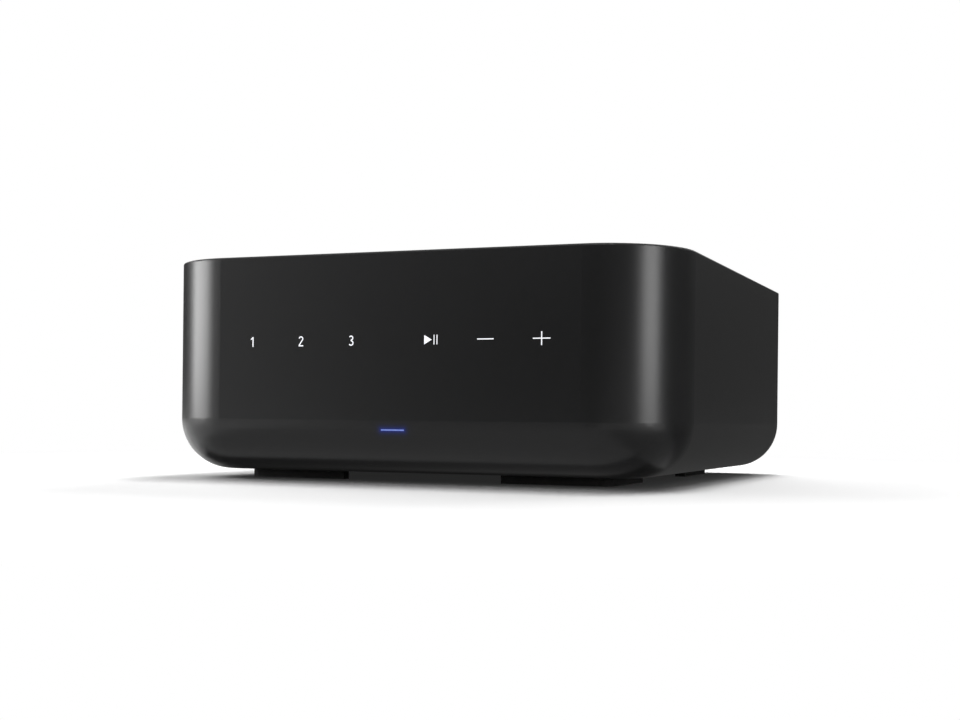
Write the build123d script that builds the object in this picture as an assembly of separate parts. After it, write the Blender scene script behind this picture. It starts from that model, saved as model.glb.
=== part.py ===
from build123d import *
from math import cos, radians, sin
import os

# Driving dimensions of the case, in millimetres. X runs right seen from the front, Y to the back, Z up.
body_width = 216.0
body_depth = 204.0
body_height = 87.5
foot_height = 3.5
corner_radius = 33.0
lower_edge_radius = 20.5
top_edge_radius = 0.8
wall = 2.5
lid_thickness = 2.0
lid_rim = 1.4
panel_thickness = 2.0
panel_inset = 3.0
seam_gap = 0.3
cover_flange_height = 8.5

# Speaker posts: the parts on each stud, from the panel outwards
collar_length = 3.0
collar_radius = 7.5
washer_length = 1.5
cap_length = 12.5
cap_radius = 7.2
stud_radius = 3.5
stud_inside_length = 17.0
banana_radius = 2.0
banana_depth = 16.0
running_clearance = 0.05
post_spacing = 19.0
first_pair_x = 14.5
pair_spacing = 40.0
post_z = 30.0
groove_count = 18

# Planes that everything else is placed from
rear_reach = collar_length + washer_length + cap_length - panel_inset
front_y = -(body_depth + rear_reach) / 2
rear_y = front_y + body_depth
panel_face_y = rear_y - panel_inset
panel_back_y = panel_face_y - panel_thickness
front_inner_y = front_y + wall
floor_z = foot_height + wall
lid_z = body_height - lid_thickness
half_width = body_width / 2
inner_half_width = half_width - wall
cut_margin = 1.0

# Touch marks and status light on the front
first_mark_x = 16.6
mark_pitch = 21.75
mark_z = 54.0
mark_stroke = 0.45
line_stroke = 0.4
digit_height = 3.9
led_x = 1.0
led_z = 20.3
led_width = 9.5
led_height = 0.5
light_frame_depth = 4.0
light_frame_half_length = 71.0
light_frame_half_height = 10.0
stake_radius = 1.5
stake_drop = 7.0

# Feet: low rubber angles under the four corners
foot_arm = 44.0
foot_band = 4.4
foot_web = 24.0
foot_corner_radius = 5.0
foot_side_inset = 30.0
foot_front_inset = 28.0
foot_rear_inset = 18.0

# Phono sockets, in two columns of two, which set the height of the upper board below the cover
rca_column_spacing = 14.0
rca_first_x = 6.0
rca_spacing_z = 13.0
rca_first_lift = 7.0
rca_top_margin = 5.2
rca_side_margin = 6.5
rca_sleeve_radius = 4.15
rca_sleeve_reach = 8.5
rca_sleeve_shoulder = 0.5
rca_root_radius = 3.9
rca_root_length = 8.0
rca_insert_radius = 3.3
rca_insert_step = 0.6
rca_pin_hole_radius, rca_pin_hole_depth = 1.65, 15.0

# Pressed steel tray and the boards on it
tray_boss_height = 3.0
sheet = 1.2
tray_half_width = 84.0
tray_front_gap = 26.0
tray_flange_height = 10.0
board_lift = 6.0
board_thickness = 1.6
part_gap = 0.2
tray_z = floor_z + tray_boss_height
tray_top_z = tray_z + sheet
board_z = tray_top_z + board_lift
board_top_z = board_z + board_thickness
socket_stack = rca_first_lift + rca_spacing_z + rca_top_margin
streamer_top_z = lid_z - cover_flange_height - part_gap - socket_stack
streamer_z = streamer_top_z - board_thickness

power_left_x, power_width, power_length, power_rear_gap = -83.0, 66.0, 120.0, 32.0
amplifier_left_x, amplifier_width, amplifier_length, amplifier_rear_gap = -6.0, 81.0, 140.0, 12.0
streamer_left_x, streamer_width, streamer_length, streamer_rear_gap = -40.0, 124.0, 72.0, 4.0
power_front_y = panel_back_y - power_rear_gap - power_length
amplifier_front_y = panel_back_y - amplifier_rear_gap - amplifier_length
streamer_front_y = panel_back_y - streamer_rear_gap - streamer_length
power_span_x = (power_left_x, power_left_x + power_width)
power_span_y = (power_front_y, power_front_y + power_length)
amplifier_span_x = (amplifier_left_x, amplifier_left_x + amplifier_width)
amplifier_span_y = (amplifier_front_y, amplifier_front_y + amplifier_length)
streamer_span_x = (streamer_left_x, streamer_left_x + streamer_width)
streamer_span_y = (streamer_front_y, streamer_front_y + streamer_length)
board_hole_inset = 4.0
pillar_radius = 3.2
pillar_clearance = 0.5
pillar_inset_y = 6.0
pillar_spacing_y = 50.0

# Screws: shank radius, head radius and head height by kind
base_shank, base_head, base_head_height = 2.0, 3.6, 2.2
small_shank, small_head, small_head_height = 1.5, 2.8, 1.8
screw_hole_clearance = 0.2

# Sockets and controls on the rear panel
inlet_x, inlet_z = -76.0, 30.0
inlet_body_width, inlet_body_height, inlet_body_depth = 22.0, 13.0, 20.0
inlet_flange_width, inlet_flange_height, inlet_flange_depth = 36.0, 16.0, 2.0
inlet_slot_width, inlet_slot_height, inlet_slot_depth = 16.4, 8.8, 11.5
inlet_pin_spacing, inlet_pin_radius, inlet_pin_root_radius = 8.6, 1.2, 1.0
inlet_pin_shoulder, inlet_pin_recess = 0.3, 2.5
inlet_screw_spacing = 28.0
tab_length = 6.0

switch_x, switch_z = inlet_x, 58.0
switch_width, switch_height, switch_depth = 13.0, 19.4, 16.0
bezel_margin, bezel_depth = 1.2, 1.8
rocker_half_width, rocker_half_height = 5.2, 7.6
rocker_swing = 20.0
axle_radius = 1.2
moving_gap = 0.3

optical_x = 35.0
optical_size, optical_depth, optical_reach = 10.0, 14.0, 2.0
optical_opening, optical_hollow_depth = 8.0, 10.5
flap_thickness, flap_axle_radius, flap_axle_drop, flap_inset = 0.8, 0.4, 0.9, 1.1

usb_x = 51.0
usb_width, usb_height, usb_depth = 13.1, 5.7, 14.0
usb_shell = 0.4
socket_lip = 0.3
ethernet_x = 70.0
ethernet_width, ethernet_height, ethernet_depth = 16.0, 13.5, 16.0
ethernet_plug_width, ethernet_plug_height, ethernet_plug_depth = 12.0, 6.8, 12.5

setup_button_x, pairing_button_x = -16.0, -30.0
button_lift = 5.0
button_radius = 2.5
button_reach = 0.8
stem_radius = 1.3

vent_width, vent_height, vent_pitch = 2.0, 6.5, 4.0
vent_drop = 4.5
vent_z = lid_z - cover_flange_height - vent_drop
switch_vent_count = 11
socket_vent_count = 13
socket_vent_x = 55.0

# Components on the boards; the cans under the upper board fill a fixed share of the height below it
storage_can_radius, storage_can_height = 11.0, 40.0
output_can_radius = 6.0
amplifier_can_radius = 8.0
under_board_share = 0.78
low_can_height = under_board_share * (streamer_z - board_top_z)
mains_film_width, mains_film_depth, mains_film_height = 26.0, 10.0, 19.0
speaker_film_width, speaker_film_depth, speaker_film_height = 13.0, 5.0, 11.0
inductor_size, inductor_height = 12.5, 11.0
core_length, core_width, core_height, core_web = 40.0, 14.0, 34.0, 6.0
chip_size, chip_height, chip_spacing = 14.0, 1.2, 24.0
power_sink_length, power_sink_height, power_sink_plate, power_sink_fold = 46.0, 32.0, 3.0, 10.0
sink_width, sink_length, sink_base, sink_fin_height = 60.0, 54.0, 4.0, 30.0
sink_fin_thickness = 1.6
sink_fin_count = 11

# Places of the components, counted from the front left corner of their board
choke_x, choke_y = 17.0, 94.0
fuse_x, fuse_y = 24.5, 111.0
mains_film_x, mains_film_y = 50.0, 107.0
storage_first_x, storage_spacing, storage_y = 17.0, 28.0, 16.0
output_first_x, output_spacing, output_y = 35.0, 13.0, 84.0
power_sink_x, power_sink_y = 4.0, 56.0
transformer_x, transformer_y = 41.0, 56.0
sink_margin_x, sink_margin_y = 10.0, 12.0
inductor_y, speaker_film_y, amplifier_can_y = 84.0, 102.0, 118.0
shield_margin_x, shield_margin_y = 10.0, 14.0
lead_run_y = 108.0
antenna_first_x, antenna_spacing, antenna_y = 12.2, 89.8, 3.0


def block(x_span, y_span, z_span):
    """A box between the given limits."""
    spans = (x_span, y_span, z_span)
    sizes = [high - low for low, high in spans]
    centre = [(high + low) / 2 for low, high in spans]
    return Pos(*centre) * Box(*sizes)


def around(centre, size):
    """The span of the given size around a centre."""
    return (centre - size / 2, centre + size / 2)


def upright(x, y, z, radius, height):
    """A round bar that stands on z."""
    return Pos(x, y, z + height / 2) * Cylinder(radius, height)


def rearward(x, y, z, radius, length):
    """A round bar along Y that starts at y and runs to the back."""
    return Pos(x, y + length / 2, z) * Rot(90, 0, 0) * Cylinder(radius, length)


def group(pieces):
    """Several separate solids that share one name."""
    return Compound(children=[solid for piece in pieces for solid in piece.solids()])


def lead(points, radius, bend):
    """A wire: straight runs joined by tangent arcs."""
    path = FilletPolyline(*points, radius=bend)
    section = Plane(origin=path @ 0, z_dir=path % 0) * Circle(radius)
    return sweep(section, path=path)


def screw(shank, length, head, head_height):
    """A pan-head screw with a cross recess: the head stands on z = 0 and the shank hangs below it."""
    slot_width, slot_length, slot_depth = head * 0.3, head * 1.1, head_height * 0.6
    body = upright(0, 0, -length, shank, length) + upright(0, 0, 0, head, head_height)
    rim = body.edges().filter_by(GeomType.CIRCLE).sort_by(Axis.Z)[-1]
    body = fillet(rim, head_height * 0.4)
    recess = Box(slot_width, slot_length, slot_depth * 2) + Box(slot_length, slot_width, slot_depth * 2)
    return body - Pos(0, 0, head_height) * recess


def screws_at(places, kind, length):
    """The same screw at each of the places."""
    return group([place * screw(kind[0], length, kind[1], kind[2]) for place in places])


base_screw = (base_shank, base_head, base_head_height)
small_screw = (small_shank, small_head, small_head_height)


def case_outline(inset, back_y):
    """Plan of the case: round at the two front corners, square where it is cut off at the back."""
    depth = back_y - front_y - inset
    plan = Pos(0, back_y - depth / 2) * Rectangle(body_width - 2 * inset, depth)
    return fillet(plan.vertices().group_by(Axis.Y)[0], corner_radius - inset)


def case_volume(inset, bottom_z, top_z, back_y):
    """The case's plan raised to a height, with the large rounding along its lower edge."""
    solid = Pos(0, 0, bottom_z) * extrude(case_outline(inset, back_y), top_z - bottom_z)
    lower_edges = solid.edges().group_by(Axis.Z)[0].sort_by(Axis.Y)[:-1]
    return fillet(lower_edges, lower_edge_radius - inset)


def foot_corner(side, end):
    """Outer corner of a foot; side is -1 or 1 along X, end is -1 at the front and 1 at the rear."""
    y = front_y + foot_front_inset if end < 0 else rear_y - foot_rear_inset
    return side * (half_width - foot_side_inset), y


def base_screw_spots():
    """The four screws from below stand under the inner corner of each foot."""
    inset = 9.0
    corners = [(side, end, *foot_corner(side, end)) for side in (-1, 1) for end in (-1, 1)]
    return [(x - side * inset, y - end * inset) for side, end, x, y in corners]


def front_place(x, z):
    """A drawing plane on the inner side of the front wall, seen from the front."""
    return Plane(origin=(x, front_inner_y, z), x_dir=(1, 0, 0), z_dir=(0, -1, 0))


def mark_xs():
    """The six marks, three each side of the middle."""
    distances = [first_mark_x + mark_pitch * step for step in range(3)]
    return [-distance for distance in reversed(distances)] + distances


def digit_one():
    top, right, flag = digit_height / 2, 0.55, 0.75
    left = right - mark_stroke
    outline = [(left, -top), (right, -top), (right, top), (left + 0.1, top),
               (left - flag, top - 0.8), (left - flag, top - 1.25), (left, top - 0.85)]
    return make_face(Polyline(*outline, close=True))


def digit_two():
    width, top = 2.0, digit_height / 2
    radius = (width - mark_stroke) / 2
    bowl = CenterArc((0, top - mark_stroke / 2 - radius), radius, 170, -205)
    tail = Line(bowl @ 1, (-radius, -top + mark_stroke))
    foot = Pos(0, -top + mark_stroke / 2) * Rectangle(width, mark_stroke)
    return trace(bowl, mark_stroke) + trace(tail, mark_stroke) + foot


def digit_three():
    top, upper_radius, lower_radius = digit_height / 2, 0.72, 0.83
    upper = CenterArc((-0.05, top - mark_stroke / 2 - upper_radius), upper_radius, 150, -240)
    lower = CenterArc((-0.05, -top + mark_stroke / 2 + lower_radius), lower_radius, 90, -240)
    waist = Line(upper @ 1, lower @ 0)
    return trace(upper, mark_stroke) + trace(waist, mark_stroke) + trace(lower, mark_stroke)


def play_and_pause():
    back_x, tip_x, half_height = -2.75, 0.35, 1.75
    bar_xs, bar_width, bar_height = (1.25, 2.45), 0.34, 3.6
    triangle = make_face(Polyline((back_x, half_height), (back_x, -half_height), (tip_x, 0), close=True))
    bars = [Pos(x, 0) * Rectangle(bar_width, bar_height) for x in bar_xs]
    return triangle + bars


def minus():
    length = 6.5
    return Rectangle(length, line_stroke)


def plus():
    width, height = 6.7, 5.0
    return Rectangle(width, line_stroke) + Rectangle(line_stroke, height)


def make_icon_windows():
    """The six marks as light-guiding windows, flush with the front."""
    drawings = (digit_one(), digit_two(), digit_three(), play_and_pause(), minus(), plus())
    return group([extrude(front_place(x, mark_z) * drawing, wall) for x, drawing in zip(mark_xs(), drawings)])


def make_led_window():
    """The window of the status light, flush with the start of the lower rounding."""
    reach = 6.0
    bar = block(around(led_x, led_width), (front_y, front_y + reach), around(led_z, led_height))
    skin = case_volume(0, foot_height, body_height, rear_y) - cavity()
    return bar & skin


def cavity():
    """The hollow of the shell, open at the top and the back."""
    margin = 5.0
    return case_volume(wall, floor_z, body_height + margin, rear_y + margin)


def panel_boss_spots():
    """The two screws that hold the rear panel to bosses on the shell's side walls."""
    inset, height = 6.5, 47.0
    return [(side * (inner_half_width - inset), height) for side in (-1, 1)]


def stake_spots():
    """Heat stakes on the front wall that hold the light frame and the touch board."""
    inset = 4.0
    half_spacing = light_frame_half_length - inset
    return [(side * half_spacing, mark_z + z) for side in (-1, 1) for z in (-stake_drop, stake_drop)]


def floor_vent_spots():
    """Air slots in the floor, in two rows between the feet."""
    pitch, steps, rows = 6.0, 9, (-27.0, 18.0)
    return [(side * step * pitch, y) for side in (-1, 1) for step in range(1, steps + 1) for y in rows]


def make_shell():
    """One-piece tub: front, two sides and bottom, with its bosses."""
    outside = case_volume(0, foot_height, body_height, rear_y)
    top_edges = outside.edges().group_by(Axis.Z)[-1].sort_by(Axis.Y)[:-1]
    tub = fillet(top_edges, top_edge_radius) - cavity()
    margin = 5.0
    lid_seat = extrude(case_outline(lid_rim, rear_y + margin), lid_thickness + margin)
    tub -= Pos(0, 0, lid_z) * lid_seat

    boss_radius, head_pocket = 4.8, base_head_height + 0.3
    for x, y in base_screw_spots():
        tub += upright(x, y, floor_z - 0.5, boss_radius, tray_boss_height + 0.5)
        tub -= upright(x, y, foot_height - 1, base_shank + screw_hole_clearance, 10)
        tub -= upright(x, y, foot_height - 1, base_head + screw_hole_clearance, head_pocket + 1)

    boss_width, boss_depth = 11.0, 12.0
    for x, z in panel_boss_spots():
        side = 1 if x > 0 else -1
        inner_x, outer_x = x - side * boss_width / 2, side * (inner_half_width + 0.5)
        span = (min(inner_x, outer_x), max(inner_x, outer_x))
        tub += block(span, (panel_back_y - boss_depth, panel_back_y), around(z, boss_width))
        tub -= rearward(x, panel_back_y - boss_depth + 2, z, small_shank, boss_depth)

    stake_length = 7.5
    for x, z in stake_spots():
        tub += rearward(x, front_inner_y - 0.5, z, stake_radius, stake_length + 0.5)

    slot_length = 34.0
    for x, y in floor_vent_spots():
        tub -= block(around(x, vent_width), around(y, slot_length), (foot_height - 1, floor_z + 1))

    for window in make_icon_windows().solids():
        tub -= window
    return tub - make_led_window()


def make_top_cover():
    """Flat cover let into the shell, with a locating skirt below and a flange at the back."""
    cover = Pos(0, 0, lid_z) * extrude(case_outline(lid_rim + seam_gap, rear_y), lid_thickness)
    skirt_height, skirt_wall, skirt_back = 4.0, 1.2, panel_back_y - 4.0
    outer = case_outline(wall + seam_gap, skirt_back)
    inner = case_outline(wall + seam_gap + skirt_wall, skirt_back + 1)
    cover += Pos(0, 0, lid_z - skirt_height) * extrude(outer - inner, skirt_height + 0.5)
    half_length = inner_half_width - 4.5
    flange_y = (panel_back_y - 2.0, panel_back_y)
    flange_z = (lid_z - cover_flange_height, lid_z + 0.5)
    cover += block((-half_length, half_length), flange_y, flange_z)
    for x, z in lid_screw_spots():
        cover -= rearward(x, panel_back_y - 4, z, small_shank, 5)
    return cover


def lid_screw_spots():
    """Three screws through the rear panel into the cover's flange."""
    outer_x, middle_x = inner_half_width - 11.5, -8.0
    return [(x, lid_z - cover_flange_height / 2) for x in (-outer_x, middle_x, outer_x)]


def tray_screw_spots():
    """Three screws through the rear panel into the tray's flange."""
    spacing, lift = 60.0, 6.0
    return [(step * spacing, tray_z + lift) for step in (-1, 0, 1)]


def post_pair_xs():
    """The middle of each pair of speaker posts."""
    return (first_pair_x, first_pair_x + pair_spacing)


def post_xs():
    """The four speaker posts, in two pairs."""
    return [centre + side * post_spacing / 2 for centre in post_pair_xs() for side in (-1, 1)]


def rca_spots():
    """Centres of the four phono sockets, column by column from below."""
    first_z = streamer_top_z + rca_first_lift
    return [(rca_first_x + column * rca_column_spacing, first_z + row * rca_spacing_z)
            for column in (0, 1) for row in (0, 1)]


def vent_bank(centre, count):
    """Air slots at an even pitch on both sides of a centre."""
    return [centre + vent_pitch * (step - (count - 1) / 2) for step in range(count)]


def panel_vent_xs():
    """Air slots high in the rear panel, in two banks."""
    return vent_bank(switch_x, switch_vent_count) + vent_bank(socket_vent_x, socket_vent_count)


def make_rear_panel():
    """Flat panel in the shell's open back, with an opening for each socket and control."""
    inset = wall + seam_gap
    plan = case_volume(inset, floor_z + seam_gap, lid_z - seam_gap, panel_face_y)
    panel = plan & block((-half_width, half_width), (panel_back_y, panel_face_y), (0, body_height))
    through = (panel_back_y - 1, panel_face_y + 1)
    depth = panel_thickness + 2

    def window(x, width, z_low, z_high):
        gap = 0.15
        return block(around(x, width + 2 * gap), through, (z_low - gap, z_high + gap))

    def hole(x, z, radius):
        return rearward(x, panel_back_y - 1, z, radius, depth)

    inlet_low = inlet_z - inlet_body_height / 2
    switch_low = switch_z - switch_height / 2
    cuts = [
        window(inlet_x, inlet_body_width, inlet_low, inlet_low + inlet_body_height),
        window(switch_x, switch_width, switch_low, switch_low + switch_height),
        window(optical_x, optical_size, streamer_top_z, streamer_top_z + optical_size),
        window(usb_x, usb_width, streamer_top_z, streamer_top_z + usb_height),
        window(ethernet_x, ethernet_width, streamer_top_z, streamer_top_z + ethernet_height),
    ]
    cuts += [hole(x, z, rca_root_radius + 0.1) for x, z in rca_spots()]
    cuts += [hole(x, post_z, collar_radius - 2) for x in post_xs()]
    cuts += [hole(x, streamer_top_z + button_lift, button_radius + moving_gap) for x in button_xs()]
    cuts += [hole(x, z, small_shank + screw_hole_clearance)
             for x, z in panel_boss_spots() + lid_screw_spots() + tray_screw_spots()]
    cuts += [hole(inlet_x + side * inlet_screw_spacing / 2, inlet_z, small_shank) for side in (-1, 1)]
    cuts += [block(around(x, vent_width), through, around(vent_z, vent_height)) for x in panel_vent_xs()]
    for cut in cuts:
        panel -= cut
    return panel


def make_foot(side, end):
    """A low rubber angle under one corner, thickened where it covers the base screw."""
    x, y = foot_corner(side, end)
    outline = [
        (0, 0), (-foot_arm, 0), (-foot_arm, foot_band), (-foot_web, foot_band),
        (-foot_band, foot_web), (-foot_band, foot_arm), (0, foot_arm),
    ]
    points = [(x + side * dx, y - end * dy) for dx, dy in outline]
    plan = make_face(Polyline(*points, close=True))
    corner = plan.vertices().sort_by_distance((x, y, 0))[0]
    return extrude(fillet(corner, foot_corner_radius), foot_height)


def make_light_frame():
    """The frame that keeps the light of each mark apart, between the front wall and the touch board."""
    window_radius, light_gap = 4.2, 0.6
    y_span = (front_inner_y, front_inner_y + light_frame_depth)
    x_span = (-light_frame_half_length, light_frame_half_length)
    frame = block(x_span, y_span, around(mark_z, 2 * light_frame_half_height))
    frame += block(around(led_x, led_width + 5), y_span, (led_z - 4, mark_z))
    for x in mark_xs():
        frame -= rearward(x, front_y, mark_z, window_radius, 10)
    for x, z in stake_spots():
        frame -= rearward(x, front_y, z, stake_radius + 0.1, 10)
    light_path = (front_y, front_y + 10)
    frame -= block(around(led_x, led_width + light_gap), light_path, around(led_z, led_height + light_gap))
    return frame & cavity()


def make_touch_board():
    """Touch sensor board with a tail that carries the status light."""
    margin, tail_width = 1.0, 14.0
    board_y = front_inner_y + light_frame_depth
    y_span = (board_y, board_y + sheet)
    half_length = light_frame_half_length + margin
    board = block((-half_length, half_length), y_span, around(mark_z, 2 * light_frame_half_height + margin))
    board += block(around(led_x, tail_width), y_span, (led_z - 4, mark_z))
    for x, z in stake_spots():
        board -= rearward(x, front_y, z, stake_radius + 0.1, 15)
    return board


def make_touch_ribbon():
    """Flat cable from the touch board to the upper board, with a connector at each end."""
    ribbon_x, ribbon_width, ribbon_thickness = 20.0, 12.0, 0.3
    start_y, end_y = front_inner_y + light_frame_depth + sheet, streamer_front_y + 6
    upper_z, lower_z = mark_z + 6, streamer_top_z + 1.2
    points = [(start_y + 2, upper_z), (2, upper_z), (10, lower_z), (end_y - 3, lower_z)]
    side_view = Plane(origin=(ribbon_x - ribbon_width / 2, 0, 0), x_dir=(0, 1, 0), z_dir=(1, 0, 0))
    strip = trace(FilletPolyline(*points, radius=4), ribbon_thickness)
    cable = extrude(side_view * strip, ribbon_width)
    x_span = around(ribbon_x, ribbon_width + 2)
    cable += block(x_span, (start_y, start_y + 2.5), around(upper_z, 3))
    cable += block(x_span, (end_y - 3.5, end_y), (streamer_top_z, streamer_top_z + 2.4))
    return cable


def tray_boss_spots():
    """Screw bosses of the tray, under the corners of the two lower boards."""
    spots = []
    for x_span, y_span in ((power_span_x, power_span_y), (amplifier_span_x, amplifier_span_y)):
        xs = (x_span[0] + board_hole_inset, x_span[1] - board_hole_inset)
        ys = (y_span[0] + board_hole_inset, y_span[1] - board_hole_inset)
        spots += [(x, y) for x in xs for y in ys]
    return spots


def pillar_spots():
    """The pillars of the upper board stand on both sides of the amplifier board."""
    reach = pillar_radius + pillar_clearance
    first_y = streamer_front_y + pillar_inset_y
    return [(x, y) for y in (first_y, first_y + pillar_spacing_y)
            for x in (amplifier_span_x[0] - reach, amplifier_span_x[1] + reach)]


def make_chassis_tray():
    """Pressed steel tray with folded edges, screw bosses and a flange against the rear panel."""
    y_span = (front_y + tray_front_gap, panel_back_y)
    tray = block((-tray_half_width, tray_half_width), y_span, (tray_z, tray_top_z))
    rear_flange = (panel_back_y - sheet, panel_back_y)
    tray += block((-tray_half_width, tray_half_width), rear_flange, (tray_z, tray_z + tray_flange_height))
    edge_height = 5.0
    for side in (-1, 1):
        edge = around(side * (tray_half_width - sheet / 2), sheet)
        tray += block(edge, y_span, (tray_z, tray_z + edge_height))
    boss_radius, thread_radius = 3.2, small_shank
    for x, y in tray_boss_spots():
        tray += upright(x, y, tray_z, boss_radius, sheet + board_lift)
        tray -= upright(x, y, tray_z - 1, thread_radius, 10)
    for x, y in base_screw_spots():
        tray += upright(x, y, tray_z, 4.0, sheet + 2.5)
        tray -= upright(x, y, tray_z - 1, base_shank, 10)
    for x, y in pillar_spots():
        tray -= upright(x, y, tray_z - 1, small_shank, 4)
    for x, z in tray_screw_spots():
        tray -= rearward(x, panel_back_y - 3, z, small_shank, 4)
    slot_length = 30.0
    for x, y in floor_vent_spots():
        tray -= block(around(x, vent_width), around(y, slot_length), (tray_z - 1, tray_top_z + 1))
    return tray


def make_base_screws():
    """Four screws from below, hidden by the feet."""
    facing_down = Rot(180, 0, 0)
    head_seat_z = foot_height + base_head_height + 0.3
    places = [Pos(x, y, head_seat_z) * facing_down for x, y in base_screw_spots()]
    return screws_at(places, base_screw, tray_top_z + 2.5 - head_seat_z)


def make_panel_screws():
    """The black screws on the back: panel to shell, panel to cover, panel to tray."""
    facing_back = Rot(-90, 0, 0)
    spots = panel_boss_spots() + lid_screw_spots() + tray_screw_spots()
    places = [Pos(x, panel_face_y, z) * facing_back for x, z in spots]
    inlet_face_y = panel_face_y + inlet_flange_depth
    places += [Pos(inlet_x + side * inlet_screw_spacing / 2, inlet_face_y, inlet_z) * facing_back
               for side in (-1, 1)]
    return screws_at(places, small_screw, panel_thickness + 2)


def make_board_screws():
    """Screws that hold the boards down."""
    places = [Pos(x, y, board_top_z) for x, y in tray_boss_spots()]
    places += [Pos(x, y, streamer_top_z) for x, y in pillar_spots()]
    return screws_at(places, small_screw, board_thickness + 4)


def make_streamer_pillars():
    """Hexagonal pillars that carry the upper board."""
    height, thread_depth = streamer_z - tray_top_z, 8.0
    hexagon = extrude(RegularPolygon(pillar_radius, 6), height)
    hexagon -= upright(0, 0, height - thread_depth, small_shank, thread_depth + 1)
    return group([Pos(x, y, tray_top_z) * hexagon for x, y in pillar_spots()])


def board(x_span, y_span, bottom_z, holes):
    """A circuit board with its screw holes."""
    plate = block(x_span, y_span, (bottom_z, bottom_z + board_thickness))
    for x, y in holes:
        plate -= upright(x, y, bottom_z - 1, small_shank + screw_hole_clearance, board_thickness + 2)
    return plate


def make_power_board():
    return board(power_span_x, power_span_y, board_z, tray_boss_spots()[:4])


def make_amplifier_board():
    return board(amplifier_span_x, amplifier_span_y, board_z, tray_boss_spots()[4:])


def make_streamer_board():
    return board(streamer_span_x, streamer_span_y, streamer_z, pillar_spots())


def on_power_board(x, y):
    """A place on the power board, counted from its front left corner."""
    return power_left_x + x, power_front_y + y


def on_amplifier_board(x, y):
    """A place on the amplifier board, counted from its front left corner."""
    return amplifier_left_x + x, amplifier_front_y + y


def make_mains_choke():
    """Mains filter choke: a lying ring core with two windings."""
    ring_radius, core_radius, winding_radius, arc = 9.0, 3.2, 4.4, 130.0
    x, y = on_power_board(choke_x, choke_y)
    winding = Torus(ring_radius, winding_radius, major_angle=arc)
    choke = Torus(ring_radius, core_radius) + winding + Rot(0, 0, 180) * winding
    return Pos(x, y, board_top_z + winding_radius) * Rot(0, 0, -arc / 2) * choke


def make_mains_fuse():
    """Glass fuse in its two clips."""
    radius, length, lift = 2.6, 20.0, 5.0
    clip_spacing, clip_width, clip_length = 15.0, 7.0, 4.0
    x, y = on_power_board(fuse_x, fuse_y)
    fuse = Pos(x, y, board_top_z + lift) * Rot(0, 90, 0) * Cylinder(radius, length)
    for side in (-1, 1):
        clip_x = x + side * clip_spacing / 2
        clip_z = (board_top_z, board_top_z + lift)
        fuse += block(around(clip_x, clip_length), around(y, clip_width), clip_z)
    return fuse


def film_capacitor(x, y, width, depth, height):
    """A potted box capacitor with softened upright edges."""
    box = block(around(x, width), around(y, depth), (board_top_z, board_top_z + height))
    return fillet(box.edges().filter_by(Axis.Z), 0.6)


def make_film_capacitors():
    """The mains filter capacitor and one capacitor in each speaker filter."""
    mains_place = on_power_board(mains_film_x, mains_film_y)
    boxes = [film_capacitor(*mains_place, mains_film_width, mains_film_depth, mains_film_height)]
    filter_y = amplifier_front_y + speaker_film_y
    boxes += [film_capacitor(x, filter_y, speaker_film_width, speaker_film_depth, speaker_film_height)
              for x in post_xs()]
    return group(boxes)


def can_capacitor(x, y, radius, height):
    """An electrolytic capacitor: a can with a bead near its foot."""
    rim_radius, bead_lift, bead_offset, bead_radius = 0.8, 4.0, 0.3, 0.8
    can = upright(x, y, board_top_z, radius, height)
    can = fillet(can.edges().group_by(Axis.Z)[-1], rim_radius)
    bead = Pos(x, y, board_top_z + bead_lift) * Torus(radius + bead_offset, bead_radius)
    return can - bead


def make_supply_capacitors():
    """Two mains storage capacitors, three behind the transformer, two by the amplifier."""
    storage_size, output_size = (storage_can_radius, storage_can_height), (output_can_radius, low_can_height)
    storage_places = [on_power_board(storage_first_x + storage_spacing * step, storage_y) for step in (0, 1)]
    output_places = [on_power_board(output_first_x + output_spacing * step, output_y) for step in range(3)]
    storage = [can_capacitor(*place, *storage_size) for place in storage_places]
    output = [can_capacitor(*place, *output_size) for place in output_places]
    y = amplifier_front_y + amplifier_can_y
    amplifier = [can_capacitor(x, y, amplifier_can_radius, low_can_height) for x in post_pair_xs()]
    return group(storage + output + amplifier)


def make_power_heatsink():
    """Folded aluminium plate for the power transistors."""
    x, y = on_power_board(power_sink_x, power_sink_y)
    y_span = around(y, power_sink_length)
    top_z = board_top_z + power_sink_height
    plate = block((x, x + power_sink_plate), y_span, (board_top_z, top_z))
    return plate + block((x, x + power_sink_fold), y_span, (top_z - power_sink_plate, top_z))


def make_power_transistors():
    """Two power transistors flat against the heatsink, with their legs in the board."""
    width, thickness, bottom, height, leg_pitch, spacing = 10.0, 4.4, 6.0, 16.0, 2.54, 22.0
    sink_x, sink_y = on_power_board(power_sink_x, power_sink_y)
    face_x = sink_x + power_sink_plate
    body_z = (board_top_z + bottom, board_top_z + bottom + height)
    leg_x = around(face_x + thickness / 2, 0.6)
    pieces = []
    for side in (-1, 1):
        y = sink_y + side * spacing / 2
        body = block((face_x, face_x + thickness), around(y, width), body_z)
        for step in (-1, 0, 1):
            body += block(leg_x, around(y + step * leg_pitch, 0.9), (board_top_z, body_z[0] + 1))
        pieces.append(body)
    return group(pieces)


def make_transformer_core():
    """Ferrite core: an outer frame with a leg through the winding."""
    x, y = on_power_board(transformer_x, transformer_y)
    core = block(around(x, core_length), around(y, core_width), (board_top_z, board_top_z + core_height))
    window_width = (core_length - 3 * core_web) / 2
    z_span = (board_top_z + core_web, board_top_z + core_height - core_web)
    for side in (-1, 1):
        centre = x + side * (core_web + window_width) / 2
        core -= block(around(centre, window_width), around(y, core_width + 2), z_span)
    return core


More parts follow.
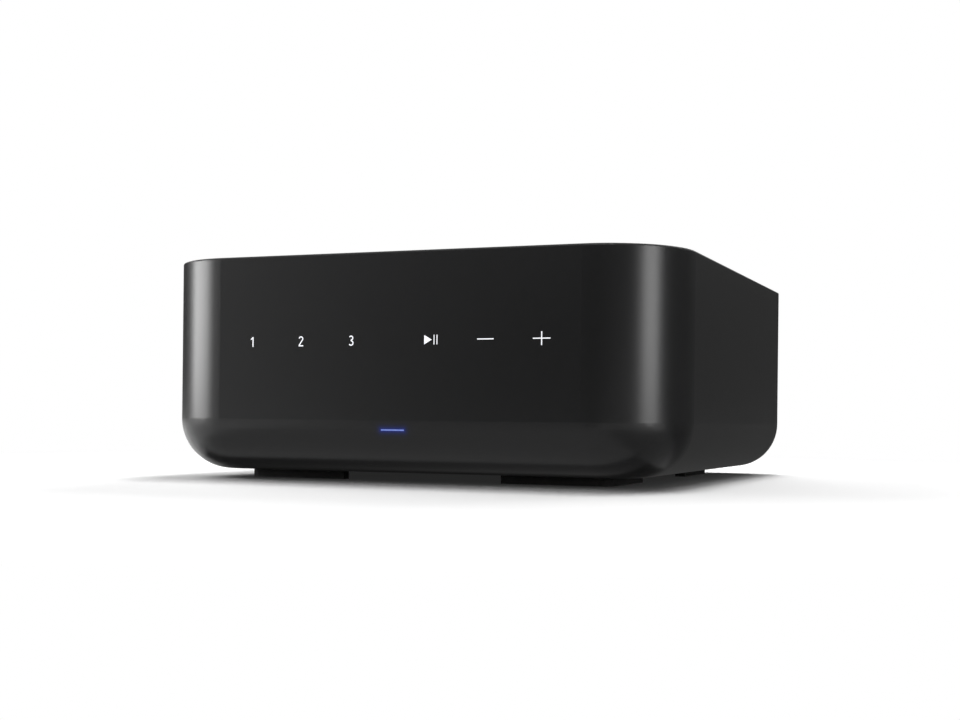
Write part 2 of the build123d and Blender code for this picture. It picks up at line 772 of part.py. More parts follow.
def make_transformer_winding():
    """The taped winding around the core's middle leg."""
    x, y = on_power_board(transformer_x, transformer_y)
    window_width = (core_length - 3 * core_web) / 2
    side_gap, overhang, corner = 2.2, 8.0, 5.0
    width, depth = core_web + 2 * (window_width - side_gap), core_width + 2 * overhang
    z_span = (board_top_z + core_web, board_top_z + core_height - core_web)
    winding = block(around(x, width), around(y, depth), z_span)
    winding = fillet(winding.edges().filter_by(Axis.Z), corner)
    return winding - block(around(x, core_web), around(y, core_width), z_span)


def sink_centre():
    """The middle of the amplifier heatsink."""
    return on_amplifier_board(sink_margin_x + sink_width / 2, sink_margin_y + sink_length / 2)


def make_amplifier_chips():
    """Two amplifier chips under the heatsink."""
    x, y = sink_centre()
    z_span = (board_top_z, board_top_z + chip_height)
    return group([block(around(x + side * chip_spacing / 2, chip_size), around(y, chip_size), z_span)
                  for side in (-1, 1)])


def make_amplifier_heatsink():
    """Extruded heatsink: a base on the chips, two legs on the board and a row of fins."""
    x, y = sink_centre()
    leg_width = 4.0
    left_x, y_span = x - sink_width / 2, around(y, sink_length)
    base_z = board_top_z + chip_height
    sink = block(around(x, sink_width), y_span, (base_z, base_z + sink_base))
    for side in (-1, 1):
        leg_x = around(x + side * (sink_width - leg_width) / 2, leg_width)
        sink += block(leg_x, y_span, (board_top_z, base_z + 1))
    pitch = (sink_width - sink_fin_thickness) / (sink_fin_count - 1)
    for step in range(sink_fin_count):
        fin_x = left_x + step * pitch
        sink += block((fin_x, fin_x + sink_fin_thickness), y_span, (base_z, base_z + sink_fin_height))
    return sink


def make_output_inductors():
    """Four shielded inductors, one in line with each speaker post."""
    y, z_span = amplifier_front_y + inductor_y, (board_top_z, board_top_z + inductor_height)
    cubes = [block(around(x, inductor_size), around(y, inductor_size), z_span) for x in post_xs()]
    return group([fillet(cube.edges().filter_by(Axis.Z), 2) for cube in cubes])


def make_speaker_straps():
    """Brass straps that stand on the amplifier board, soldered to the ends of the studs."""
    width, thickness, foot_length, head = 6.0, 1.0, 6.0, 4.0
    y = panel_back_y - stud_inside_length
    straps = []
    for x in post_xs():
        strap = block(around(x, width), (y - thickness, y), (board_top_z, post_z + head))
        foot_z = (board_top_z, board_top_z + thickness)
        straps.append(strap + block(around(x, width), (y - foot_length, y), foot_z))
    return group(straps)


def make_module_shield():
    """Tin can over the network module."""
    width, length, height, tin = 40.0, 32.0, 4.0, 0.4
    x = streamer_left_x + shield_margin_x + width / 2
    y = streamer_front_y + shield_margin_y + length / 2
    can = block(around(x, width), around(y, length), (streamer_top_z, streamer_top_z + height))
    can = fillet(can.edges().filter_by(Axis.Z), 1.5)
    hollow_z = (streamer_top_z - 1, streamer_top_z + height - tin)
    return can - block(around(x, width - 2 * tin), around(y, length - 2 * tin), hollow_z)


def make_antennas():
    """Two stamped antennas that stand on the front edge of the upper board."""
    blade_length, blade_lift, blade_height, tin, leg_width = 24.0, 8.0, 6.0, 0.6, 1.6
    end_leg, feed_leg = -11.0, 4.0
    y_span = around(streamer_front_y + antenna_y, tin)
    blade_z = (streamer_top_z + blade_lift, streamer_top_z + blade_lift + blade_height)
    pieces = []
    for step in range(2):
        x = streamer_left_x + antenna_first_x + antenna_spacing * step
        blade = block(around(x, blade_length), y_span, blade_z)
        for offset in (end_leg, feed_leg):
            blade += block(around(x + offset, leg_width), y_span, (streamer_top_z, blade_z[0] + 1))
        pieces.append(blade)
    return group(pieces)


def button_xs():
    return (setup_button_x, pairing_button_x)


def make_button_switches():
    """Tact switches on the upper board, hollow where the buttons' stems go in."""
    width, length, behind_panel, floor = 7.0, 5.0, 9.0, 2.0
    front, z = panel_back_y - behind_panel, streamer_top_z + button_lift
    pieces = []
    for x in button_xs():
        body = block(around(x, width), (front, front + length), (streamer_top_z, z + width / 2))
        pieces.append(body - rearward(x, front + floor, z, stem_radius + moving_gap, length))
    return group(pieces)


def make_button(x):
    """A round push button: its head in the panel, a retaining collar behind it and a stem."""
    z = streamer_top_z + button_lift
    collar_depth = 1.2
    stem_end = panel_back_y - 6.5
    head = rearward(x, panel_back_y - 0.5, z, button_radius, panel_thickness + button_reach + 0.5)
    head = fillet(head.edges().sort_by(Axis.Y)[-1], 0.4)
    collar = rearward(x, panel_back_y - collar_depth, z, button_radius + 0.8, collar_depth)
    return head + collar + rearward(x, stem_end, z, stem_radius, panel_back_y - stem_end)


def inlet_slot(margin, depth):
    """The figure-eight recess of the inlet, as a rounded slot from its face inwards."""
    plane = Plane(origin=(inlet_x, panel_face_y + inlet_flange_depth, inlet_z),
                  x_dir=(1, 0, 0), z_dir=(0, -1, 0))
    height = inlet_slot_height + 2 * margin
    slot = SlotOverall(inlet_slot_width + 2 * margin, height)
    return extrude(plane * slot, depth)


def make_mains_inlet():
    """Two-pin mains inlet, screwed to the outside of the panel."""
    face_y = panel_face_y + inlet_flange_depth
    x_span = around(inlet_x, inlet_flange_width)
    flange = block(x_span, (panel_face_y, face_y), around(inlet_z, inlet_flange_height))
    flange = fillet(flange.edges().filter_by(Axis.Y), 2.5)
    body = block(around(inlet_x, inlet_body_width), (face_y - inlet_body_depth, face_y),
                 around(inlet_z, inlet_body_height))
    inlet = flange + body - inlet_slot(0, inlet_slot_depth)
    for side in (-1, 1):
        x = inlet_x + side * inlet_screw_spacing / 2
        inlet -= rearward(x, panel_face_y - 1, inlet_z, small_shank + screw_hole_clearance, 5)
        pin_x = inlet_x + side * inlet_pin_spacing / 2
        body_start_y = face_y - inlet_body_depth
        inlet -= rearward(pin_x, body_start_y - 1, inlet_z, inlet_pin_root_radius, inlet_body_depth)
    return inlet


def inlet_tab_end():
    return panel_face_y + inlet_flange_depth - inlet_body_depth - tab_length


def make_inlet_pins():
    """The two round pins of the inlet, thinner where they pass through its body to the leads."""
    face_y = panel_face_y + inlet_flange_depth
    start_y = inlet_tab_end()
    contact_y = face_y - inlet_slot_depth + inlet_pin_shoulder
    tip_y = face_y - inlet_pin_recess
    pins = []
    for side in (-1, 1):
        x = inlet_x + side * inlet_pin_spacing / 2
        pin = rearward(x, start_y, inlet_z, inlet_pin_root_radius, contact_y - start_y)
        pin += rearward(x, contact_y, inlet_z, inlet_pin_radius, tip_y - contact_y)
        pins.append(fillet(pin.edges().sort_by(Axis.Y)[-1], 0.8))
    return group(pins)


def switch_tab_zs():
    return (switch_z - 6.0, switch_z + 6.0)


def make_mains_leads():
    """Leads from the inlet to the power board: one direct, one by way of the switch."""
    radius, bend = 1.3, 4.0
    lower_tab, upper_tab = switch_tab_zs()
    switch_end = panel_face_y - switch_depth - tab_length
    live_x = inlet_x - inlet_pin_spacing / 2
    neutral_x = inlet_x + inlet_pin_spacing / 2
    start = inlet_tab_end()
    run_y = power_front_y + lead_run_y
    rise_y = run_y - 2
    direct = [(neutral_x, start, inlet_z), (neutral_x, run_y, inlet_z), (neutral_x, run_y, board_top_z)]
    to_switch = [(live_x, start, inlet_z), (live_x, run_y + 6, inlet_z),
                 (switch_x, run_y + 6, lower_tab), (switch_x, switch_end, lower_tab)]
    from_switch = [(switch_x, switch_end, upper_tab), (switch_x, rise_y, upper_tab),
                   (switch_x, rise_y, board_top_z)]
    return group([lead(route, radius, bend) for route in (direct, to_switch, from_switch)])


rocker_axis_y = panel_face_y - 1.0


def make_switch_housing():
    """Frame of the mains switch, with a bearing hole on each side of the rocker."""
    bezel_face = panel_face_y + bezel_depth
    bezel = block(around(switch_x, switch_width + 2 * bezel_margin), (panel_face_y, bezel_face),
                  around(switch_z, switch_height + 2 * bezel_margin))
    bezel = fillet(bezel.edges().filter_by(Axis.Y), 1.0)
    body = block(around(switch_x, switch_width), (panel_face_y - switch_depth, bezel_face),
                 around(switch_z, switch_height))
    hollow = block(around(switch_x, 2 * (rocker_half_width + moving_gap)),
                   (rocker_axis_y - 6, bezel_face + 1), around(switch_z, switch_height - 1.6))
    housing = bezel + body - hollow
    housing -= Pos(switch_x, rocker_axis_y, switch_z) * Rot(0, 90, 0) * Cylinder(
        axle_radius + running_clearance, switch_width + 4 * bezel_margin)
    for z in switch_tab_zs():
        tab_y = (panel_face_y - switch_depth - tab_length, panel_face_y - switch_depth)
        housing += block(around(switch_x, 4.8), tab_y, around(z, 0.8))
    return housing


def make_power_rocker():
    """Rocker with a shallow V face and two axle stubs, at rest with its lower half pressed."""
    valley, ridge, shoulder, back, back_half_height = 3.2, 5.4, -1.0, -3.5, 3.0
    profile = [(valley, 0), (ridge, rocker_half_height), (shoulder, rocker_half_height),
               (back, back_half_height), (back, -back_half_height), (shoulder, -rocker_half_height),
               (ridge, -rocker_half_height)]
    side_view = Plane(origin=(-rocker_half_width, 0, 0), x_dir=(0, 1, 0), z_dir=(1, 0, 0))
    rocker = extrude(side_view * make_face(Polyline(*profile, close=True)), 2 * rocker_half_width)
    axle = Rot(0, 90, 0) * Cylinder(axle_radius, 2 * (rocker_half_width + 1.1))
    return Pos(switch_x, rocker_axis_y, switch_z) * Rot(-rocker_swing / 2, 0, 0) * (rocker + axle)


def make_post_collars():
    """Insulating collars outside the panel and insulating nuts inside it."""
    pieces = []
    sleeve_radius = collar_radius - 2.1
    for x in post_xs():
        collar = rearward(x, panel_face_y, post_z, collar_radius, collar_length)
        collar = fillet(collar.edges().sort_by(Axis.Y)[-1], 0.5)
        collar += rearward(x, panel_back_y, post_z, sleeve_radius, panel_thickness + 0.5)
        pieces.append(collar - rearward(x, panel_back_y - 1, post_z, stud_radius, 10))
        nut_length = 5.0
        plane = Plane(origin=(x, panel_back_y, post_z), x_dir=(1, 0, 0), z_dir=(0, -1, 0))
        nut = extrude(plane * RegularPolygon(collar_radius, 6), nut_length)
        pieces.append(nut - rearward(x, panel_back_y - nut_length - 1, post_z, stud_radius, 10))
    return group(pieces)


def make_post_studs():
    """Gold-plated studs with a bore for a banana plug and a cross hole for bare wire."""
    pieces = []
    inner_y = panel_back_y - stud_inside_length
    tip_y = panel_face_y + collar_length + washer_length + cap_length
    for x in post_xs():
        stud = rearward(x, inner_y, post_z, stud_radius, tip_y - inner_y)
        stud -= rearward(x, tip_y - banana_depth, post_z, banana_radius, banana_depth + 1)
        wire_hole_y = panel_face_y + collar_length + 1.3
        stud -= Pos(x, wire_hole_y, post_z) * Cylinder(1.1, 4 * stud_radius)
        pieces.append(stud)
    return group(pieces)


def make_clamp_washer(x):
    """The washer that clamps a bare wire against the collar."""
    y = panel_face_y + collar_length
    ring = rearward(x, y, post_z, cap_radius - 1, washer_length)
    return ring - rearward(x, y - 1, post_z, stud_radius + running_clearance, washer_length + 2)


def make_post_cap(x):
    """Grooved screw cap of a speaker post."""
    groove_radius = 0.7
    y = panel_face_y + collar_length + washer_length
    cap = rearward(x, y, post_z, cap_radius, cap_length)
    cap = fillet(cap.edges().sort_by(Axis.Y)[-1], 0.8)
    for step in range(groove_count):
        angle = radians(360 / groove_count * step)
        groove_x, groove_z = x + cap_radius * cos(angle), post_z + cap_radius * sin(angle)
        cap -= rearward(groove_x, y + 1.5, groove_z, groove_radius, cap_length)
    return cap - rearward(x, y - 1, post_z, stud_radius + running_clearance, cap_length + 2)


def make_rca_housing():
    """Block on the upper board that holds the four phono sockets behind the panel."""
    depth = rca_root_length + 6
    x_span = (rca_first_x - rca_side_margin, rca_first_x + rca_column_spacing + rca_side_margin)
    z_span = (streamer_top_z, streamer_top_z + socket_stack)
    housing = block(x_span, (panel_back_y - depth, panel_back_y), z_span)
    for x, z in rca_spots():
        housing -= rearward(x, panel_back_y - rca_root_length, z, rca_root_radius, rca_root_length + 1)
    return housing


def make_rca_sleeves():
    """Outer contacts of the phono sockets, with a thinner root in the panel and the housing."""
    root_y = panel_back_y - rca_root_length
    contact_y = panel_face_y + rca_sleeve_shoulder
    tip_y = panel_face_y + rca_sleeve_reach
    sleeves = []
    for x, z in rca_spots():
        sleeve = rearward(x, root_y, z, rca_root_radius, contact_y - root_y)
        sleeve += rearward(x, contact_y, z, rca_sleeve_radius, tip_y - contact_y)
        sleeves.append(sleeve - rearward(x, root_y - 1, z, rca_insert_radius, tip_y - root_y + 2))
    return group(sleeves)


def make_rca_inserts(row):
    """Coloured insulators inside the sleeves of one row, with the hole for the plug's pin."""
    root_y = panel_back_y - rca_root_length
    face_y = panel_face_y + rca_sleeve_reach - rca_insert_step
    inserts = []
    hole_y = face_y - rca_pin_hole_depth
    for x, z in rca_spots()[row::2]:
        insert = rearward(x, root_y, z, rca_insert_radius, face_y - root_y)
        inserts.append(insert - rearward(x, hole_y, z, rca_pin_hole_radius, rca_pin_hole_depth + 1))
    return group(inserts)


def optical_centre_z():
    return streamer_top_z + optical_size / 2


def make_optical_socket():
    """Square optical socket, proud of the panel and hollow where its flap swings in."""
    bearing_length = optical_size - 0.6
    z = optical_centre_z()
    face_y = panel_face_y + optical_reach
    body = block(around(optical_x, optical_size), (panel_face_y - optical_depth, face_y),
                 around(z, optical_size))
    hollow_y = (panel_face_y - optical_hollow_depth, face_y + cut_margin)
    hollow = block(around(optical_x, optical_opening), hollow_y, around(z, optical_opening))
    axle_y, axle_z = flap_axis()
    bearing = Rot(0, 90, 0) * Cylinder(flap_axle_radius + running_clearance, bearing_length)
    return body - hollow - Pos(optical_x, axle_y, axle_z) * bearing


def flap_axis():
    """The flap's hinge line, near the top of the opening: its Y and Z."""
    top_z = optical_centre_z() + optical_opening / 2
    return panel_face_y + optical_reach - flap_inset, top_z - flap_axle_drop


def make_optical_flap():
    """The flap that closes the optical socket and swings inwards."""
    axle_y, axle_z = flap_axis()
    size = optical_opening - 2 * moving_gap
    flap = block(around(optical_x, size), around(axle_y, flap_thickness), around(optical_centre_z(), size))
    axle = Pos(optical_x, axle_y, axle_z) * Rot(0, 90, 0) * Cylinder(flap_axle_radius, optical_opening + 1)
    return flap + axle


def make_usb_socket():
    """USB socket: folded metal shell with a contact tongue."""
    tongue_width, tongue_thickness, tongue_gap = 11.2, 1.9, 1.0
    x_span = around(usb_x, usb_width)
    z_span = (streamer_top_z, streamer_top_z + usb_height)
    y_span = (panel_face_y - usb_depth, panel_face_y + socket_lip)
    shell = block(x_span, y_span, z_span)
    shell -= block((x_span[0] + usb_shell, x_span[1] - usb_shell), (y_span[0] + 3, y_span[1] + 1),
                   (z_span[0] + usb_shell, z_span[1] - usb_shell))
    tongue_top = z_span[1] - usb_shell - tongue_gap
    tongue = block(around(usb_x, tongue_width), (y_span[0] + 2, y_span[1] - 1.5),
                   (tongue_top - tongue_thickness, tongue_top))
    return shell + tongue


def make_ethernet_socket():
    """Network socket with the stepped opening for the plug and its latch."""
    x_span = around(ethernet_x, ethernet_width)
    z_span = (streamer_top_z, streamer_top_z + ethernet_height)
    face_y = panel_face_y + socket_lip
    socket = block(x_span, (panel_face_y - ethernet_depth, face_y), z_span)
    opening_lift, latch_width, latch_height = 4.6, 6.4, 2.6
    opening_z = (z_span[0] + opening_lift, z_span[0] + opening_lift + ethernet_plug_height)
    opening_y = (face_y - ethernet_plug_depth, face_y + cut_margin)
    socket -= block(around(ethernet_x, ethernet_plug_width), opening_y, opening_z)
    latch_z = (opening_z[0] - latch_height, opening_z[0] + 1)
    socket -= block(around(ethernet_x, latch_width), opening_y, latch_z)
    return socket


def all_pieces():
    """Every named piece of the amplifier."""
    pieces = {
        "shell": make_shell(),
        "top_cover": make_top_cover(),
        "rear_panel": make_rear_panel(),
        "icon_windows": make_icon_windows(),
        "led_window": make_led_window(),
        "light_frame": make_light_frame(),
        "touch_board": make_touch_board(),
        "touch_ribbon": make_touch_ribbon(),
        "chassis_tray": make_chassis_tray(),
        "base_screws": make_base_screws(),
        "panel_screws": make_panel_screws(),
        "board_screws": make_board_screws(),
        "streamer_pillars": make_streamer_pillars(),
        "power_board": make_power_board(),
        "amplifier_board": make_amplifier_board(),
        "streamer_board": make_streamer_board(),
        "mains_choke": make_mains_choke(),
        "mains_fuse": make_mains_fuse(),
        "film_capacitors": make_film_capacitors(),
        "supply_capacitors": make_supply_capacitors(),
        "power_heatsink": make_power_heatsink(),
        "power_transistors": make_power_transistors(),
        "transformer_core": make_transformer_core(),
        "transformer_winding": make_transformer_winding(),
        "amplifier_chips": make_amplifier_chips(),
        "amplifier_heatsink": make_amplifier_heatsink(),
        "output_inductors": make_output_inductors(),
        "speaker_straps": make_speaker_straps(),
        "module_shield": make_module_shield(),
        "antennas": make_antennas(),
        "button_switches": make_button_switches(),
        "setup_button": make_button(setup_button_x),
        "pairing_button": make_button(pairing_button_x),
        "mains_inlet": make_mains_inlet(),
        "inlet_pins": make_inlet_pins(),
        "mains_leads": make_mains_leads(),
        "switch_housing": make_switch_housing(),
        "power_rocker": make_power_rocker(),
        "post_collars": make_post_collars(),
        "post_studs": make_post_studs(),
        "rca_housing": make_rca_housing(),
        "rca_sleeves": make_rca_sleeves(),
        "rca_inserts_red": make_rca_inserts(0),
        "rca_inserts_white": make_rca_inserts(1),
        "optical_socket": make_optical_socket(),
        "optical_flap": make_optical_flap(),
        "usb_socket": make_usb_socket(),
        "ethernet_socket": make_ethernet_socket(),
    }
    for end_name, end in (("front", -1), ("rear", 1)):
        for side_name, side in (("left", -1), ("right", 1)):
            pieces[f"foot_{end_name}_{side_name}"] = make_foot(side, end)
    for number, x in enumerate(post_xs(), start=1):
        pieces[f"clamp_washer_{number}"] = make_clamp_washer(x)
        pieces[f"post_cap_{number}"] = make_post_cap(x)
    return pieces


os.makedirs("parts", exist_ok=True)
for name, piece in all_pieces().items():
    export_step(piece, f"parts/{name}.step")
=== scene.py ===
from math import cos, radians, sin

import bmesh
import bpy
from mathutils import Matrix, Vector


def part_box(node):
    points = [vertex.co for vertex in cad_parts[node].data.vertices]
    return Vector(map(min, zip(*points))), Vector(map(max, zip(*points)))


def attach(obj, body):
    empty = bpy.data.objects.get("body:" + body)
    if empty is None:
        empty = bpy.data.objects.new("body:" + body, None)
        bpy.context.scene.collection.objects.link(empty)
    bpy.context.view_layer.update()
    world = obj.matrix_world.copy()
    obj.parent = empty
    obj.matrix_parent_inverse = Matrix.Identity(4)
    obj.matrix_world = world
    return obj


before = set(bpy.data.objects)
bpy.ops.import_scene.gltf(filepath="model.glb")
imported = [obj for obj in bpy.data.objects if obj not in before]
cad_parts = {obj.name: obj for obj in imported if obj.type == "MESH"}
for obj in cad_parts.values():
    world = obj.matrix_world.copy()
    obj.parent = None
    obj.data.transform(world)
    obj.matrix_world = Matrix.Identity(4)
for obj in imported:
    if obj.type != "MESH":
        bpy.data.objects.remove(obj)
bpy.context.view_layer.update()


mm = 0.001
white = (1, 1, 1, 1)

# Camera: place in metres, angles, and lens in millimetres, worked out from the edges of the
# case in the photograph
camera_spot = Vector((0.2262, -0.5712, 0.0244))
camera_yaw = radians(22.305)
camera_roll = radians(0.63)
camera_lens = 51.38
camera_shift = 0.0626


def add_camera():
    """The photograph's camera: it looks level, so the case's upright edges stay upright."""
    forward = Vector((-sin(camera_yaw), cos(camera_yaw), 0))
    level = Vector((cos(camera_yaw), sin(camera_yaw), 0))
    right = level * cos(camera_roll) + Vector((0, 0, sin(camera_roll)))
    up = right.cross(forward)
    camera = bpy.data.objects.new("camera", bpy.data.cameras.new("camera"))
    bpy.context.collection.objects.link(camera)
    turn = Matrix((right, up, -forward)).transposed().to_4x4()
    camera.matrix_world = Matrix.Translation(camera_spot) @ turn
    camera.data.lens = camera_lens
    camera.data.sensor_width = 36
    camera.data.shift_y = camera_shift
    camera.data.clip_start = 0.01
    bpy.context.scene.camera = camera


# Node helpers

def new_material(name):
    """A material with its node tree and its main shader."""
    material = bpy.data.materials.new(name)
    material.use_nodes = True
    return material, material.node_tree, material.node_tree.nodes["Principled BSDF"]


def place_on_object(tree, stretch=(1, 1, 1)):
    """Coordinates in metres that stay with the object."""
    coordinates = tree.nodes.new("ShaderNodeTexCoord")
    mapping = tree.nodes.new("ShaderNodeMapping")
    mapping.inputs["Scale"].default_value = stretch
    tree.links.new(coordinates.outputs["Object"], mapping.inputs["Vector"])
    return mapping.outputs["Vector"]


def noise(tree, place, size, detail=3.0):
    """Cloudy noise whose patches are about the given size in metres."""
    node = tree.nodes.new("ShaderNodeTexNoise")
    node.inputs["Scale"].default_value = 1 / size
    node.inputs["Detail"].default_value = detail
    tree.links.new(place, node.inputs["Vector"])
    return node.outputs["Fac"]


def remap(tree, value, low, high, start=0.3, end=0.7):
    """Turns start..end into low..high, where low may be a fixed value or a socket."""
    node = tree.nodes.new("ShaderNodeMapRange")
    node.inputs["From Min"].default_value = start
    node.inputs["From Max"].default_value = end
    if isinstance(low, bpy.types.NodeSocket):
        tree.links.new(low, node.inputs["To Min"])
    else:
        node.inputs["To Min"].default_value = low
    node.inputs["To Max"].default_value = high
    tree.links.new(value, node.inputs["Value"])
    return node.outputs["Result"]


def mix_colours(tree, factor, first, second):
    """Goes from the first colour to the second; either may be a fixed colour or a socket."""
    node = tree.nodes.new("ShaderNodeMix")
    node.data_type = "RGBA"
    tree.links.new(factor, node.inputs["Factor"])
    colour_inputs = [socket for socket in node.inputs if socket.type == "RGBA"]
    for socket, colour in zip(colour_inputs, (first, second)):
        if isinstance(colour, tuple):
            socket.default_value = (*colour, 1)
        else:
            tree.links.new(colour, socket)
    return next(socket for socket in node.outputs if socket.type == "RGBA")


def edges(tree, radius):
    """1 on the edges of the piece and 0 away from them, with the rounded normal beside it."""
    on_edge, off_edge = 0.8, 0.99
    bevel = tree.nodes.new("ShaderNodeBevel")
    bevel.samples = 4
    bevel.inputs["Radius"].default_value = radius
    geometry = tree.nodes.new("ShaderNodeNewGeometry")
    product = tree.nodes.new("ShaderNodeVectorMath")
    product.operation = "DOT_PRODUCT"
    tree.links.new(bevel.outputs["Normal"], product.inputs[0])
    tree.links.new(geometry.outputs["True Normal"], product.inputs[1])
    nearness = remap(tree, product.outputs["Value"], 1.0, 0.0, on_edge, off_edge)
    return nearness, bevel.outputs["Normal"]


def box_distance(tree, low, high):
    """Distance in metres from the box between two corners, and 0 inside it."""
    centre, half = (low + high) / 2, (high - low) / 2
    place = place_on_object(tree)
    steps = (("SUBTRACT", centre), ("ABSOLUTE", None), ("SUBTRACT", half), ("MAXIMUM", (0, 0, 0)))
    for operation, amount in steps:
        step = tree.nodes.new("ShaderNodeVectorMath")
        step.operation = operation
        tree.links.new(place, step.inputs[0])
        if amount:
            step.inputs[1].default_value = amount
        place = step.outputs["Vector"]
    length = tree.nodes.new("ShaderNodeVectorMath")
    length.operation = "LENGTH"
    tree.links.new(place, length.inputs[0])
    return length.outputs["Value"]


def bump(tree, shader, height, depth, normal=None, strength=1.0):
    """Raises the surface by a height map, at most by the given depth in metres."""
    node = tree.nodes.new("ShaderNodeBump")
    node.inputs["Strength"].default_value = strength
    node.inputs["Distance"].default_value = depth
    tree.links.new(height, node.inputs["Height"])
    if normal:
        tree.links.new(normal, node.inputs["Normal"])
    tree.links.new(node.outputs["Normal"], shader.inputs["Normal"])


def surface(name, colour, shade=None, rough=(0.4, 0.5), grain=0.4 * mm, depth=0.01 * mm,
            edge_wear_and_sheen=None, rounding=0.15 * mm, patch=14 * mm, stretch=(1, 1, 1), metallic=0.0,
            specular=0.5, coat=0.0):
    """A moulded, coated or machined surface: fine grain, soft patches of tone and worn edges.
    The lighter edges are partly wear and partly a painted highlight.

    Left out, the shade of the patches and the lighter tone of the edges follow from the colour."""
    darker, brighter, lift, most_wear_and_sheen = 0.82, 1.25, 0.01, 0.7
    material, tree, shader = new_material(name)
    shader.inputs["Metallic"].default_value = metallic
    shader.inputs["Specular IOR Level"].default_value = specular
    shader.inputs["Coat Weight"].default_value = coat
    place = place_on_object(tree, stretch)
    fine = noise(tree, place, grain)
    broad = noise(tree, place_on_object(tree), patch, 2.0)
    shade = shade or tuple(value * darker for value in colour)
    edge_wear_and_sheen = edge_wear_and_sheen or tuple(min(1.0, value * brighter + lift) for value in colour)
    edge, rounded = edges(tree, rounding)
    tone = mix_colours(tree, remap(tree, broad, 0.0, 1.0), colour, shade)
    # Edges lighter: partly wear, partly a painted highlight.
    tone = mix_colours(tree, remap(tree, edge, 0.0, most_wear_and_sheen, 0.0, 1.0), tone, edge_wear_and_sheen)
    tree.links.new(tone, shader.inputs["Base Color"])
    tree.links.new(remap(tree, fine, *rough), shader.inputs["Roughness"])
    bump(tree, shader, fine, depth, rounded)
    return material


# Materials of the outside

def node_corners(name):
    """Lowest and highest corner of a CAD node as vectors."""
    low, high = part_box(name)
    return Vector(low), Vector(high)


def satin_case():
    """Satin black moulding with a very fine grain."""
    return surface("satin_case", (0.006, 0.006, 0.0064), shade=(0.0052, 0.0052, 0.0056),
                   rough=(0.28, 0.32), grain=0.35 * mm, depth=0.002 * mm,
                   edge_wear_and_sheen=(0.008, 0.008, 0.0085), rounding=0.2 * mm, patch=60 * mm, specular=0.42)


def case_with_painted_glow():
    """The same moulding, with a painted glow of the status light around its window.

    The case itself emits this painted glow, which halves with each step of half_distance away from the
    window."""
    half_distance = 0.45 * mm
    painted_glow_colour = (0.0, 0.012, 0.17, 1)
    material = satin_case()
    tree = material.node_tree
    shader = tree.nodes["Principled BSDF"]
    steps = tree.nodes.new("ShaderNodeMath")
    steps.operation = "DIVIDE"
    steps.inputs[1].default_value = half_distance
    tree.links.new(box_distance(tree, *node_corners("led_window")), steps.inputs[0])
    fade = tree.nodes.new("ShaderNodeMath")
    fade.operation = "POWER"
    fade.inputs[0].default_value = 0.5
    tree.links.new(steps.outputs["Value"], fade.inputs[1])
    # Painted glow: the case emits blue light around the window, standing in for the light's spill.
    shader.inputs["Emission Color"].default_value = painted_glow_colour
    tree.links.new(fade.outputs["Value"], shader.inputs["Emission Strength"])
    return material


def powder_coat():
    """Matt black powder coat with its orange-peel surface."""
    return surface("powder_coat", (0.016, 0.016, 0.017), rough=(0.5, 0.62), grain=0.7 * mm,
                   depth=0.03 * mm, edge_wear_and_sheen=(0.03, 0.03, 0.031), specular=0.4)


def foot_rubber():
    """Matt black rubber, slightly dusty."""
    return surface("foot_rubber", (0.012, 0.012, 0.012), shade=(0.02, 0.02, 0.019),
                   rough=(0.75, 0.9), grain=0.5 * mm, depth=0.03 * mm, edge_wear_and_sheen=(0.03, 0.03, 0.029),
                   patch=6 * mm, specular=0.25)


def lit_window(name, colour, glow, strength):
    """A light guide that shines evenly, with a faint cloudiness in it."""
    cloud_size, cloud_white = 1.2 * mm, 0.1
    material, tree, shader = new_material(name)
    shader.inputs["Base Color"].default_value = (*colour, 1)
    shader.inputs["Roughness"].default_value = 0.35
    shader.inputs["Emission Strength"].default_value = strength
    cloud = remap(tree, noise(tree, place_on_object(tree), cloud_size), 0.0, 1.0)
    paler = tuple((1 - cloud_white) * value + cloud_white for value in glow)
    tree.links.new(mix_colours(tree, cloud, glow, paler), shader.inputs["Emission Color"])
    return material


def mark_white():
    """Windows of the touch marks."""
    return lit_window("mark_white", (0.3, 0.3, 0.3), (0.9, 0.92, 0.97), 0.95)


def led_blue():
    """Window of the status light."""
    return lit_window("led_blue", (0.02, 0.03, 0.08), (0.15, 0.23, 0.7), 0.85)


def socket_plastic():
    """Black glass-filled plastic of sockets, collars and switches."""
    return surface("socket_plastic", (0.018, 0.018, 0.019), rough=(0.42, 0.55), grain=0.3 * mm,
                   depth=0.012 * mm, edge_wear_and_sheen=(0.035, 0.035, 0.036), patch=5 * mm)


def glossy_cap(name, colour):
    """Polished moulding of a post cap or a socket insert."""
    return surface(name, colour, rough=(0.18, 0.28), grain=0.5 * mm, depth=0.004 * mm, patch=4 * mm,
                   coat=0.1)


def gold_plate():
    """Gold plate with fine turning lines around the post's length."""
    return surface("gold_plate", (0.83, 0.58, 0.2), shade=(0.78, 0.5, 0.16), rough=(0.16, 0.3),
                   grain=0.25 * mm, depth=0.004 * mm, edge_wear_and_sheen=(0.9, 0.68, 0.3), patch=3 * mm,
                   stretch=(0.05, 1, 0.05), metallic=1.0)


def nickel_plate():
    """Drawn nickel plate."""
    return surface("nickel_plate", (0.66, 0.64, 0.6), shade=(0.58, 0.56, 0.53), rough=(0.18, 0.32),
                   grain=0.2 * mm, depth=0.004 * mm, patch=3 * mm, stretch=(1, 0.1, 1), metallic=1.0)


def metal_outside(material, low, high, metal):
    """Turns the surface outside the box between two corners into bare metal."""
    border = 0.05 * mm
    tree = material.node_tree
    shader = tree.nodes["Principled BSDF"]
    outside = remap(tree, box_distance(tree, low, high), 0.0, 1.0, 0.0, border)
    colour = shader.inputs["Base Color"].links[0].from_socket
    tree.links.new(outside, shader.inputs["Metallic"])
    tree.links.new(mix_colours(tree, outside, colour, metal), shader.inputs["Base Color"])
    return material


